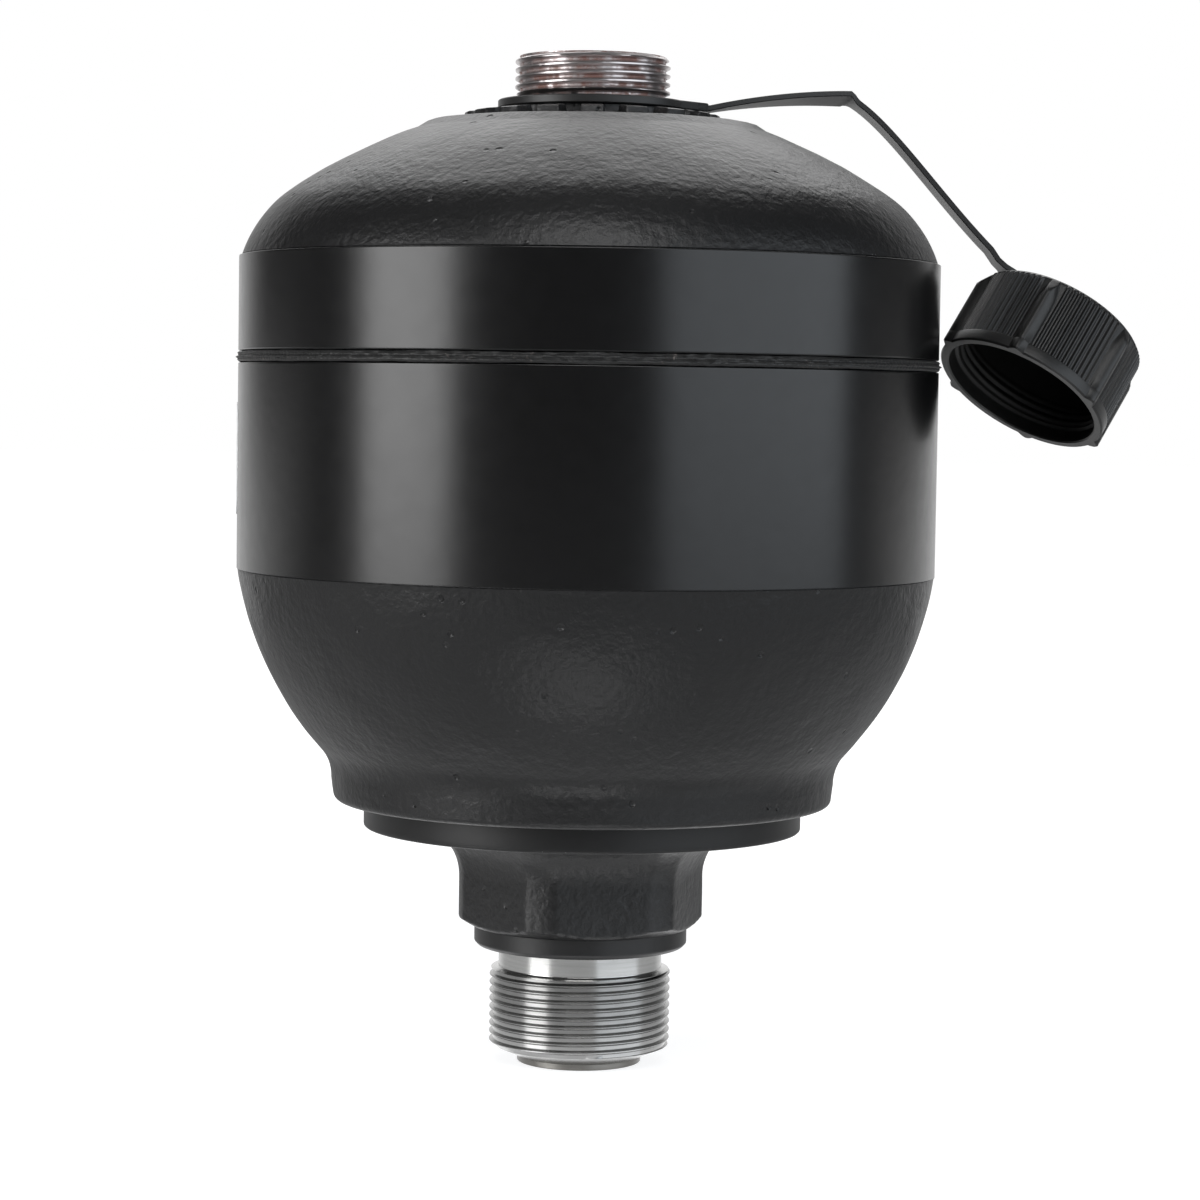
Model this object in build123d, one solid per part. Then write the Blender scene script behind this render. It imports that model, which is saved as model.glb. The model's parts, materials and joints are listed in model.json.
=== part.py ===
from build123d import *
import math
import os

# Welded gas accumulator of 0.75 litre: a forged steel vessel made of two shells, with a rubber
# bladder inside, a fluid port below, and a gas neck above whose screw cap hangs on its strap.
# Millimetres. The origin is the centre of the fluid port's end face, +Z runs up the vessel's
# axis to the gas neck, and the strap leads the cap towards +X.

# ---- clearances ----
loose_gap = 0.3          # between pieces of different bodies, and between rubber and steel
thread_gap = 0.1         # between a plain shank and the threaded hole that holds it
same = 0.01              # lengths that differ by less count as equal

# ---- fluid port, stacked up from its end face ----
nose_radius = 11.3
nose_height = 1.06
port_lead_height = 2.24  # long lead-in cone between the nose and the thread
port_radius = 16.45      # M33 x 1.5, over the crests
port_thread_length = 14.0
port_chamfer = 0.8
relief_radius = 14.85
relief_height = 4.0
collar_radius = 19.35
collar_height = 4.7
collar_chamfer = 0.7
hex_across_flats = 41.0
hex_height = 15.5
hex_corner_proud = 1.8   # turned corners, beyond the flats
hex_chamfer_reach = 0.9  # the corner chamfer starts this far inside the flats
hex_chamfer_angle = 30.0
hex_turn = 11.0          # angle of one hex corner from +X
hex_fillet = 6.0
flange_radius = 39.7
flange_thickness = 5.1
flange_edge = 0.8
fluid_bore_radius = 8.0

# ---- outside of the vessel ----
boss_radius = 45.2       # forged boss on the flange
boss_height = 5.2
boss_flare = 0.3         # the boss is this much wider at its top
boss_edge = 1.3          # rounding of the boss's lower edge
waist_run = 2.2          # hollow between the boss and the bowl: outwards, up, and its depth
waist_rise = 5.4
waist_depth = 0.57
bowl_bulge = 2.6         # height of the bowl's arc over its chord
bowl_step = 0.15         # the turned band stands this much proud of the forged bowl
shell_radius = 63.0      # turned bands below and above the weld
weld_z = 127.2
lower_band_height = 37.8
upper_band_height = 18.2
knuckle_radius = 23.0    # upper dome: a knuckle up from the band, and a crown on the axis
knuckle_start = 17.34    # degrees over the horizontal at which the knuckle leaves the band
crown_radius = 94.5
spotface_radius = 29.43  # the crown is faced flat round the gas neck

# ---- inside of the vessel ----
shell_wall = 8.5
crown_wall = 9.8         # from the hollow's top to the spot-face
upper_cavity_rise = 22.0
lower_cavity_start = 2.6 # the hollow starts to close in this far over the lower band's edge
valve_floor = 7.4        # from the flange's top to the valve seat
seat_radius = 17.0       # flat valve seat at the bottom of the hollow

# ---- gas neck, stacked up from the spot-face ----
neck_seat_radius = 15.8  # turned seat for the strap's ring
neck_seat_height = 2.6
neck_relief_depth = 0.95
neck_relief_height = 1.6
neck_radius = 13.95      # M28 x 1.5, over the crests
neck_height = 9.4        # from the seat to the rim
neck_chamfer = 0.7
counterbore_radius = 8.3
counterbore_depth = 7.0
screw_thread_radius = 5.0

# ---- raised forging marks round the neck ----
mark_count = 18
mark_inner_gap = 3.0     # from the neck's seat
mark_outer_gap = 2.93    # from the spot-face's edge
mark_width = 4.8
mark_inner_height = 2.2
mark_outer_height = 1.2
mark_draft = 14.0

# ---- weld ----
weld_outer_half = 1.1    # half the width of the groove at the outside
weld_root_half = 0.3
weld_land = 0.4          # from the bladder's seat bore to the groove's root
weld_crown = 0.65
spigot_depth = 4.0       # the upper shell's spigot below the weld line

# ---- bladder, retaining ring and valve button ----
bead_ledge = 2.0         # width of the ledge that carries the bladder's rim
bead_seat_depth = 15.2   # the ledge below the weld line
bead_height = 4.0
bladder_wall = 3.0
ring_step = 2.5          # the retaining ring stands this far into the hollow
button_margin = 1.0      # the button's plate is this much smaller than its seat
button_thickness = 3.3
button_edge = 1.0
button_stem_radius = 4.0
button_head_radius = 9.0
button_head_height = 2.6

# ---- charging screw ----
screw_head_height = 4.8
screw_length = 15.0
screw_seal_height = 0.9
socket_across_flats = 5.0
socket_depth = 3.6
screw_edge = 0.6

# ---- label on the lower band ----
label_height = 20.0
label_rise = 0.7         # over the middle of the band
label_start_angle = 187.5
label_sweep = 58.0
label_thickness = 0.15
label_corner = 2.5

# ---- cap ----
cap_wall = 1.65
cap_top_thickness = 2.2
cap_height = 16.7
cap_top_edge = 1.1
cap_mouth_recess = 0.55  # the mouth is this much wider than the bore, and this deep
cap_mouth_depth = 3.0
cap_band_height = 2.5
cap_band_proud = 0.3
rib_proud = 0.5
rib_width = 0.85
rib_pitch = 5.0          # degrees
ribs_between_lobes = 9
lobe_count = 6
lobe_proud = 1.7
lobe_width = 5.0
lobe_top = 14.2
lobe_chamfer = 2.2
lobe_turn = 7.0
stud_radius = 2.5
stud_head_radius = 4.2
stud_head_height = 1.5

# ---- where the cap hangs: against the vessel's side, mouth down and leaning out ----
cap_lean = 31.1          # tilt of the cap's axis from +Z towards +X
cap_turn = 19.9          # and from there towards +Y
cap_offset = 7.0         # the mouth's middle towards +Y
cap_drop = 49.8          # the mouth's middle below the neck's seat

# ---- strap ----
strap_thickness = 1.2
strap_width = 8.0
strap_ring_width = 2.75
strap_tangent_share = 0.35  # where the web leaves the ring, as a share of the ring's radius
strap_web_length = 20.5  # from the neck's axis to where the strip starts
strap_azimuth = 9.5      # direction of the strap from +X towards +Y
strap_crease_inset = 16.2  # the strip's crease lies this far inside the vessel's side
eyelet_outer_radius = 6.0
eyelet_reach = 9.5       # from the stud to where the strip lies flat on the cap
# from the web to the crease: share of the way, height over the seat, twist in degrees
strap_route_out = [
    (0.133, 1.1, 0.0),
    (0.304, 1.9, 1.0),
    (0.494, 2.5, 2.0),
    (0.741, 3.1, 2.5),
    (1.0, 3.4, 2.5),
]
# from the crease down to the cap: distance beyond it, depth below it, twist in degrees
strap_route_down = [
    (1.6, 0.9, 1.0),
    (5.6, 3.9, 0.0),
    (9.8, 7.9, 0.0),
    (14.4, 13.2, 0.0),
    (18.8, 18.1, 0.0),
    (23.3, 22.7, 2.0),
    (27.5, 26.5, 6.0),
]

# ---- heights and radii that follow ----
port_thread_bottom_z = nose_height + port_lead_height
port_thread_top_z = port_thread_bottom_z + port_thread_length
collar_bottom_z = port_thread_top_z + relief_height
hex_bottom_z = collar_bottom_z + collar_height
hex_corner_radius = hex_across_flats / 2 + hex_corner_proud
flange_bottom_z = hex_bottom_z + hex_height
flange_top_z = flange_bottom_z + flange_thickness
seat_z = flange_top_z + valve_floor

band_bottom_z = weld_z - lower_band_height
band_top_z = weld_z + upper_band_height
cavity_radius = shell_radius - shell_wall
bead_seat_radius = cavity_radius + bead_ledge
bead_seat_z = weld_z - bead_seat_depth
weld_root_radius = bead_seat_radius + weld_land
spigot_radius = bead_seat_radius - loose_gap
spigot_bottom_z = weld_z - spigot_depth

knuckle_centre = (
    shell_radius - knuckle_radius * math.cos(math.radians(knuckle_start)),
    band_top_z - knuckle_radius * math.sin(math.radians(knuckle_start)),
)
crown_reach = crown_radius - knuckle_radius
crown_centre = (0, knuckle_centre[1] - math.sqrt(crown_reach**2 - knuckle_centre[0] ** 2))
spotface_z = crown_centre[1] + math.sqrt(crown_radius**2 - spotface_radius**2)
upper_cavity_z = spotface_z - crown_wall - upper_cavity_rise
lower_cavity_z = band_bottom_z + lower_cavity_start
# the hollow's bottom corner is an arc, tangent to the wall, that ends on the seat's edge
corner_span = cavity_radius - seat_radius
corner_drop = lower_cavity_z - seat_z
corner_radius = (corner_span**2 + corner_drop**2) / (2 * corner_span)
corner_centre = (cavity_radius - corner_radius, lower_cavity_z)

neck_seat_z = spotface_z + neck_seat_height
neck_relief_radius = neck_radius - neck_relief_depth
neck_top_z = neck_seat_z + neck_height
counterbore_floor_z = neck_top_z - counterbore_depth
screw_head_z = counterbore_floor_z + screw_seal_height
mark_inner_radius = neck_seat_radius + mark_inner_gap
mark_outer_radius = spotface_radius - mark_outer_gap

button_radius = seat_radius - button_margin
label_middle_z = (band_bottom_z + weld_z) / 2 + label_rise

cap_bore_radius = neck_radius + loose_gap
cap_mouth_radius = cap_bore_radius + cap_mouth_recess
cap_core_radius = cap_bore_radius + cap_wall
cap_band_radius = cap_core_radius + cap_band_proud
cap_rib_radius = cap_core_radius + rib_proud
lobe_radius = cap_core_radius + lobe_proud
strap_ring_inner_radius = neck_radius + loose_gap
strap_ring_outer_radius = strap_ring_inner_radius + strap_ring_width
crease_radius = shell_radius - strap_crease_inset

os.makedirs("parts", exist_ok=True)


# ---- helpers ----
def turned(*edges):
    """A solid turned about the vessel's axis from a closed half section in radius and height."""
    return revolve(Plane.XZ * make_face(Wire(edges)), Axis.Z)


def turned_polygon(*points):
    """A solid turned about the vessel's axis from the corners of its half section."""
    return turned(*Polyline(*points, close=True).edges())


def ring(inner_radius, outer_radius, bottom_z, top_z):
    """A plain ring about the vessel's axis."""
    section = Circle(outer_radius) - Circle(inner_radius)
    return Pos(0, 0, bottom_z) * extrude(section, top_z - bottom_z)


def disc(radius, bottom_z, top_z):
    """A plain cylinder about the vessel's axis."""
    return Pos(0, 0, bottom_z) * extrude(Circle(radius), top_z - bottom_z)


def arc_about(centre, start, end):
    """The short arc from start to end about a centre."""
    start_angle = math.atan2(start[1] - centre[1], start[0] - centre[0])
    end_angle = math.atan2(end[1] - centre[1], end[0] - centre[0])
    radius = math.dist(centre, start)
    middle_angle = (start_angle + end_angle) / 2
    middle = (
        centre[0] + radius * math.cos(middle_angle),
        centre[1] + radius * math.sin(middle_angle),
    )
    return ThreePointArc(start, middle, end)


def bulged_arc(start, end, bulge):
    """An arc whose middle stands out by the bulge on the right of the line from start to end."""
    span = math.dist(start, end)
    middle = (
        (start[0] + end[0]) / 2 + bulge * (end[1] - start[1]) / span,
        (start[1] + end[1]) / 2 - bulge * (end[0] - start[0]) / span,
    )
    return ThreePointArc(start, middle, end)


def corner_arc(radius, stop_z):
    """The arc about the hollow's corner centre, from the height stop_z up to the wall."""
    reach = math.sqrt(radius**2 - (corner_centre[1] - stop_z) ** 2)
    start = (corner_centre[0] + reach, stop_z)
    return arc_about(corner_centre, start, (corner_centre[0] + radius, corner_centre[1]))


# ---- the hollow inside the vessel ----
def make_cavity():
    lower = corner_arc(corner_radius, seat_z)
    upper = EllipticalCenterArc(
        (0, upper_cavity_z), cavity_radius, upper_cavity_rise, 0, arc_size=90
    )
    return turned(
        Line((0, seat_z), lower @ 0),
        lower,
        Line(lower @ 1, upper @ 0),
        upper,
        Line(upper @ 1, (0, seat_z)),
    )


cavity = make_cavity()


# ---- upper shell: half vessel, spigot, gas neck and raised marks in one forging ----
def make_marks():
    """Plain raised pads, a ring of them, with their tops falling away outwards."""
    length = mark_outer_radius - mark_inner_radius
    middle = (mark_outer_radius + mark_inner_radius) / 2
    height = mark_inner_height
    pad = extrude(Rectangle(length + height, mark_width), height, taper=mark_draft)
    pads = [
        Rot(0, 0, (number + 0.5) * 360 / mark_count) * Pos(middle, 0, spotface_z) * pad
        for number in range(mark_count)
    ]
    envelope = turned_polygon(
        (0, spotface_z),
        (mark_outer_radius, spotface_z),
        (mark_outer_radius, spotface_z + mark_outer_height),
        (mark_inner_radius, spotface_z + mark_inner_height),
        (0, spotface_z + mark_inner_height),
    )
    return [pad & envelope for pad in pads]


def make_upper_shell():
    band_top = (shell_radius, band_top_z)
    scale = crown_radius / crown_reach
    tangent = (
        knuckle_centre[0] * scale,
        crown_centre[1] + (knuckle_centre[1] - crown_centre[1]) * scale,
    )
    crown_end = (spotface_radius, spotface_z)
    relief_top_z = neck_seat_z + neck_relief_height
    outline = Polyline(
        crown_end,
        (neck_seat_radius, spotface_z),
        (neck_seat_radius, neck_seat_z),
        (neck_relief_radius, neck_seat_z),
        (neck_relief_radius, relief_top_z),
        (neck_radius, relief_top_z),
        (neck_radius, neck_top_z - neck_chamfer),
        (neck_radius - neck_chamfer, neck_top_z),
        (0, neck_top_z),
        (0, spigot_bottom_z),
        (spigot_radius, spigot_bottom_z),
        (spigot_radius, weld_z + weld_root_half),
        (weld_root_radius, weld_z + weld_root_half),
        (shell_radius, weld_z + weld_outer_half),
        band_top,
    )
    body = turned(
        arc_about(knuckle_centre, band_top, tangent),
        arc_about(crown_centre, tangent, crown_end),
        *outline.edges(),
    )
    body -= cavity
    body -= disc(screw_thread_radius, upper_cavity_z, neck_top_z)
    body -= disc(counterbore_radius, counterbore_floor_z, neck_top_z)
    return body + make_marks()


# ---- lower shell: half vessel, boss, flange, hexagon, collar and fluid port in one forging ----
def make_hexagon():
    """The spanner hexagon with turned corners, flowing into the flange above it."""
    chamfer_start = hex_across_flats / 2 - hex_chamfer_reach
    chamfer_rise = (hex_corner_radius - chamfer_start) * math.tan(math.radians(hex_chamfer_angle))
    prism = extrude(
        RegularPolygon(hex_across_flats / 2, 6, major_radius=False, rotation=hex_turn),
        flange_top_z - hex_bottom_z,
    )
    corners = turned_polygon(
        (0, hex_bottom_z),
        (chamfer_start, hex_bottom_z),
        (hex_corner_radius, hex_bottom_z + chamfer_rise),
        (hex_corner_radius, flange_top_z),
        (0, flange_top_z),
    )
    flange = turned_polygon(
        (0, flange_bottom_z),
        (flange_radius - flange_edge, flange_bottom_z),
        (flange_radius, flange_bottom_z + flange_edge),
        (flange_radius, flange_top_z),
        (0, flange_top_z),
    )
    solid = flange + (Pos(0, 0, hex_bottom_z) * prism & corners)
    junction = [
        edge
        for edge in solid.edges()
        if math.isclose(edge.center().Z, flange_bottom_z, abs_tol=same)
        and math.hypot(edge.center().X, edge.center().Y) < hex_corner_radius + same
    ]
    return fillet(junction, hex_fillet)


def make_lower_shell():
    boss_bottom = (boss_radius - boss_edge, flange_top_z)
    boss_corner = (boss_radius, flange_top_z + boss_edge)
    boss_top = (boss_radius + boss_flare, flange_top_z + boss_height)
    bowl_end = (boss_top[0] + waist_run, boss_top[1] + waist_rise)
    bowl_start = (shell_radius - bowl_step, band_bottom_z)
    outline = Polyline(
        (shell_radius, band_bottom_z),
        (shell_radius, weld_z - weld_outer_half),
        (weld_root_radius, weld_z - weld_root_half),
        (bead_seat_radius, weld_z - weld_root_half),
        (bead_seat_radius, bead_seat_z),
        (0, bead_seat_z),
        (0, flange_top_z),
        boss_bottom,
    )
    vessel = turned(
        *outline.edges(),
        arc_about((boss_radius - boss_edge, flange_top_z + boss_edge), boss_bottom, boss_corner),
        Line(boss_corner, boss_top),
        bulged_arc(boss_top, bowl_end, -waist_depth),
        bulged_arc(bowl_end, bowl_start, bowl_bulge),
        Line(bowl_start, (shell_radius, band_bottom_z)),
    )
    port = turned_polygon(
        (0, 0),
        (nose_radius, 0),
        (nose_radius, nose_height),
        (port_radius, port_thread_bottom_z),
        (port_radius, port_thread_top_z - port_chamfer),
        (port_radius - port_chamfer, port_thread_top_z),
        (relief_radius, port_thread_top_z),
        (relief_radius, collar_bottom_z),
        (collar_radius - collar_chamfer, collar_bottom_z),
        (collar_radius, collar_bottom_z + collar_chamfer),
        (collar_radius, hex_bottom_z),
        (0, hex_bottom_z),
    )
    body = vessel + make_hexagon() + port
    body -= cavity
    return body - disc(fluid_bore_radius, 0, seat_z)


# ---- weld bead ----
def make_weld_bead():
    outer_bottom = (shell_radius, weld_z - weld_outer_half)
    outer_top = (shell_radius, weld_z + weld_outer_half)
    crown = (shell_radius + weld_crown, weld_z)
    root = Polyline(
        outer_top,
        (weld_root_radius, weld_z + weld_root_half),
        (weld_root_radius, weld_z - weld_root_half),
        outer_bottom,
    )
    return turned(*root.edges(), ThreePointArc(outer_bottom, crown, outer_top))


# ---- bladder: a moulded rubber cup with a thick rim ----
def make_bladder():
    outside_radius = cavity_radius - loose_gap
    inside_radius = outside_radius - bladder_wall
    bottom_z = seat_z + button_thickness
    floor_z = bottom_z + bladder_wall
    rim_radius = bead_seat_radius - loose_gap
    rim_top_z = bead_seat_z + bead_height
    hole_radius = button_stem_radius + loose_gap
    outside = corner_arc(corner_radius - loose_gap, bottom_z)
    inside = corner_arc(corner_radius - loose_gap - bladder_wall, floor_z)
    rim = Polyline(
        outside @ 1,
        (outside_radius, bead_seat_z),
        (rim_radius, bead_seat_z),
        (rim_radius, rim_top_z),
        (inside_radius, rim_top_z),
        inside @ 1,
    )
    floor = Polyline(inside @ 0, (hole_radius, floor_z), (hole_radius, bottom_z), outside @ 0)
    return turned(outside, *rim.edges(), inside, *floor.edges())


def make_retaining_ring():
    bottom_z = bead_seat_z + bead_height
    return ring(cavity_radius - ring_step, spigot_radius, bottom_z, spigot_bottom_z)


def make_valve_button():
    """Plate on the oil side, stem through the rubber and domed head on the gas side."""
    plate_top_z = seat_z + button_thickness
    head_bottom_z = plate_top_z + bladder_wall + loose_gap
    head_top_z = head_bottom_z + button_head_height
    rim_z = head_bottom_z + button_head_height / 2
    lower = Polyline(
        (0, head_top_z),
        (0, seat_z),
        (button_radius - button_edge, seat_z),
        (button_radius, seat_z + button_edge),
        (button_radius, plate_top_z),
        (button_stem_radius, plate_top_z),
        (button_stem_radius, head_bottom_z),
        (button_head_radius, head_bottom_z),
        (button_head_radius, rim_z),
    )
    dome_rise = head_top_z - rim_z
    dome_radius = (button_head_radius**2 + dome_rise**2) / (2 * dome_rise)
    dome_centre = (0, head_top_z - dome_radius)
    dome = arc_about(dome_centre, (button_head_radius, rim_z), (0, head_top_z))
    return turned(*lower.edges(), dome)


# ---- charging screw and its seal ----
def make_charging_screw():
    head_radius = counterbore_radius - loose_gap
    shank_radius = screw_thread_radius - thread_gap
    top_z = screw_head_z + screw_head_height
    body = turned_polygon(
        (0, screw_head_z - screw_length),
        (shank_radius - screw_edge, screw_head_z - screw_length),
        (shank_radius, screw_head_z - screw_length + screw_edge),
        (shank_radius, screw_head_z),
        (head_radius, screw_head_z),
        (head_radius, top_z - screw_edge),
        (head_radius - screw_edge, top_z),
        (0, top_z),
    )
    socket = extrude(
        RegularPolygon(socket_across_flats / 2, 6, major_radius=False), socket_depth
    )
    return body - Pos(0, 0, top_z - socket_depth) * socket


def make_charging_screw_seal():
    inner_radius = screw_thread_radius + loose_gap
    outer_radius = counterbore_radius - loose_gap
    return ring(inner_radius, outer_radius, counterbore_floor_z, screw_head_z)


# ---- label: a plain wrapped sticker with round corners ----
def make_label():
    sleeve = ring(
        shell_radius,
        shell_radius + label_thickness,
        label_middle_z - label_height / 2,
        label_middle_z + label_height / 2,
    )
    middle_angle = label_start_angle - label_sweep / 2
    width = 2 * shell_radius * math.sin(math.radians(label_sweep / 2))
    outward = Vector(1, 0, 0).rotate(Axis.Z, middle_angle)
    face = Plane((0, 0, label_middle_z), x_dir=outward.rotate(Axis.Z, 90), z_dir=outward)
    cutter = extrude(face * RectangleRounded(width, label_height, label_corner), 2 * shell_radius)
    return sleeve & cutter


# ---- cap, in its own frame: origin at the mouth, +Z towards its closed top ----
lean = math.radians(cap_lean)
turn = math.radians(cap_turn)
cap_axis = Vector(
    math.sin(lean) * math.cos(turn), math.sin(turn), math.cos(lean) * math.cos(turn)
)
cap_side = Vector(math.cos(lean), 0, -math.sin(lean))
cap_mouth = (
    shell_radius + weld_crown + loose_gap + lobe_radius * math.cos(lean),
    cap_offset,
    neck_seat_z - cap_drop,
)
cap_frame = Plane(origin=cap_mouth, x_dir=cap_side, z_dir=cap_axis)


def make_cap():
    core = turned_polygon(
        (0, 0),
        (cap_band_radius, 0),
        (cap_band_radius, cap_band_height),
        (cap_core_radius, cap_band_height),
        (cap_core_radius, cap_height - cap_top_edge),
        (cap_core_radius - cap_top_edge, cap_height),
        (0, cap_height),
    )
    rib = Pos(cap_core_radius, 0, cap_band_height) * Box(
        2 * (cap_rib_radius - cap_core_radius),
        rib_width,
        cap_height - cap_top_edge - cap_band_height,
        align=(Align.CENTER, Align.CENTER, Align.MIN),
    )
    first_rib = -(ribs_between_lobes - 1) / 2 * rib_pitch
    ribs = [
        Rot(0, 0, lobe_turn + (lobe + 0.5) * 360 / lobe_count + first_rib + number * rib_pitch)
        * rib
        for lobe in range(lobe_count)
        for number in range(ribs_between_lobes)
    ]
    lobe_round = lobe_width / 2
    lobe_centre = lobe_radius - lobe_round
    lobe_bar = Pos(lobe_centre, 0, 0) * extrude(Circle(lobe_round), cap_height)
    envelope = turned_polygon(
        (0, 0),
        (lobe_radius, 0),
        (lobe_radius, lobe_top),
        (lobe_radius - lobe_chamfer, cap_height - cap_top_edge),
        (0, cap_height - cap_top_edge),
    )
    lobe_bar = lobe_bar & envelope
    lobes = [
        Rot(0, 0, lobe_turn + number * 360 / lobe_count) * lobe_bar
        for number in range(lobe_count)
    ]
    body = core + ribs + lobes
    ceiling = cap_height - cap_top_thickness
    body -= disc(cap_bore_radius, 0, ceiling)
    body -= disc(cap_mouth_radius, 0, cap_mouth_depth)
    stud_top = cap_height + strap_thickness + 2 * loose_gap
    body += disc(stud_radius, cap_height, stud_top)
    head = turned_polygon(
        (0, stud_top),
        (stud_head_radius, stud_top),
        (stud_radius, stud_top + stud_head_height),
        (0, stud_top + stud_head_height),
    )
    return cap_frame * (body + head)


# ---- strap: ring, web, twisted strip and eyelet in one moulding ----
def make_strap():
    azimuth = math.radians(strap_azimuth)
    outward = Vector(math.cos(azimuth), math.sin(azimuth), 0)
    across = Vector(-math.sin(azimuth), math.cos(azimuth), 0)
    ring_middle_z = neck_seat_z + strap_thickness / 2
    half_width = strap_width / 2

    # the web runs from the ring's flanks to the strip
    tangent_x = strap_ring_outer_radius * strap_tangent_share
    tangent_y = math.sqrt(strap_ring_outer_radius**2 - tangent_x**2)
    web = make_face(
        Polyline(
            (tangent_x, tangent_y),
            (strap_web_length, half_width),
            (strap_web_length, -half_width),
            (tangent_x, -tangent_y),
            close=True,
        )
    )
    plate = Circle(strap_ring_outer_radius) + web - Circle(strap_ring_inner_radius)
    flat = Rot(0, 0, strap_azimuth) * Pos(0, 0, neck_seat_z) * extrude(plate, strap_thickness)

    # the eyelet lies on the cap's top, round the stud
    lift = cap_height + loose_gap + strap_thickness / 2
    eyelet_centre = Vector(*cap_mouth) + cap_axis * lift
    eyelet_plane = Plane(origin=eyelet_centre, x_dir=cap_side, z_dir=cap_axis)
    eyelet = extrude(Circle(eyelet_outer_radius), strap_thickness / 2, both=True)

    # middle points of the strip, its width direction at each, and the sections
    points = [outward * strap_web_length + Vector(0, 0, ring_middle_z)]
    twists = [0.0]
    for share, height, twist in strap_route_out:
        radius = strap_web_length + share * (crease_radius - strap_web_length)
        points.append(outward * radius + Vector(0, 0, neck_seat_z + height))
        twists.append(twist)
    crease = points[-1]
    for beyond, depth, twist in strap_route_down:
        points.append(crease + outward * beyond - Vector(0, 0, depth))
        twists.append(twist)
    inward = points[-1] - eyelet_centre
    inward = (inward - cap_axis * inward.dot(cap_axis)).normalized()
    points.append(eyelet_centre + inward * eyelet_reach)
    points.append(eyelet_centre + inward * (stud_radius + 2 * loose_gap))
    widths = [across.rotate(Axis((0, 0, 0), outward), -twist) for twist in twists]
    flat_width = cap_axis.cross(inward * -1).normalized()
    widths += [flat_width, flat_width]
    sections = []
    for number, point in enumerate(points):
        before = points[max(number - 1, 0)]
        after = points[min(number + 1, len(points) - 1)]
        along = (after - before).normalized()
        width = (widths[number] - along * widths[number].dot(along)).normalized()
        normal = along.cross(width).normalized()
        if number >= len(points) - 2:
            normal = cap_axis
        side = width * half_width
        up = normal * (strap_thickness / 2)
        corners = [point + side + up, point - side + up, point - side - up, point + side - up]
        sections.append(make_face(Polyline(*corners, close=True)))
    strip = loft(sections, ruled=True)
    hole = extrude(Circle(stud_radius + loose_gap), strap_thickness, both=True)
    return flat + strip + eyelet_plane * eyelet - eyelet_plane * hole


nodes = {
    "upper_shell": make_upper_shell(),
    "lower_shell": make_lower_shell(),
    "weld_bead": make_weld_bead(),
    "bladder": make_bladder(),
    "retaining_ring": make_retaining_ring(),
    "valve_button": make_valve_button(),
    "charging_screw": make_charging_screw(),
    "charging_screw_seal": make_charging_screw_seal(),
    "label": make_label(),
    "cap": make_cap(),
    "cap_strap": make_strap(),
}

print("cap mouth", [round(value, 4) for value in cap_mouth], "axis", cap_axis)
print("spot-face height", round(spotface_z, 4), "valve seat height", round(seat_z, 4))
for name, shape in nodes.items():
    export_step(shape, f"parts/{name}.step")
    print(name, "volume", round(shape.volume, 1), "mm3")
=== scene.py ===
# %% [markdown]
# ## A welded gas accumulator, dressed for the studio
# The imported model gives every piece in its true place: two forged steel shells with a weld
# between them, a threaded port below, a threaded neck above, and a screw cap on its strap.
# This script keeps that frame and builds finer surfaces over it. The dressed part has to stay
# inside it.

# %% Load the frame
import json
import math

import bmesh
import bpy
import numpy as np
from mathutils import Matrix, Vector, noise


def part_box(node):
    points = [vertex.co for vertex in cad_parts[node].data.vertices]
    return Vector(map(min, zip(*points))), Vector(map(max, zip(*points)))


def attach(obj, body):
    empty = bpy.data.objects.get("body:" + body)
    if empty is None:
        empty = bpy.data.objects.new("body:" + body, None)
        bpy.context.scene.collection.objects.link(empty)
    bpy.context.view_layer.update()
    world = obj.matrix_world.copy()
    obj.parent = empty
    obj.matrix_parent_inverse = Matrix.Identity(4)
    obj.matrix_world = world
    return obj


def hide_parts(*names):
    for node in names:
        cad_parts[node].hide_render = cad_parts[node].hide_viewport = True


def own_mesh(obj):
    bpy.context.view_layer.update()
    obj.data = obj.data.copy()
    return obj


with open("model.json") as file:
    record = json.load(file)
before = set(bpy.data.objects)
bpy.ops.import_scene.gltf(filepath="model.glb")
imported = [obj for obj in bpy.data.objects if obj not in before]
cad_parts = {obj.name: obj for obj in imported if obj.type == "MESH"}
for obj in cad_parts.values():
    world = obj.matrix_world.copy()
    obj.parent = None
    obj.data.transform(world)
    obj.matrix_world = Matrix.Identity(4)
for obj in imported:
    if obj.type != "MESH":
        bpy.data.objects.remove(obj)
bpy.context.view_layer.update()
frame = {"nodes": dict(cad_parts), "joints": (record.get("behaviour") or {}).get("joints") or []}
nodes = frame["nodes"]
joints = {joint["name"]: joint for joint in frame["joints"]}
mm = 0.001
print("nodes:", sorted(nodes))

# %% [markdown]
# ## Writing shader maths as plain sums
# A procedural finish is a chain of small nodes. Wiring each by hand hides the thought behind
# it, so a `Wire` wraps one output and turns `1 - mask` or `height * 0.3` into Math nodes.
# Vectors and colours need Vector Math and Mix instead, because a Math node turns a colour grey.


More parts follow.
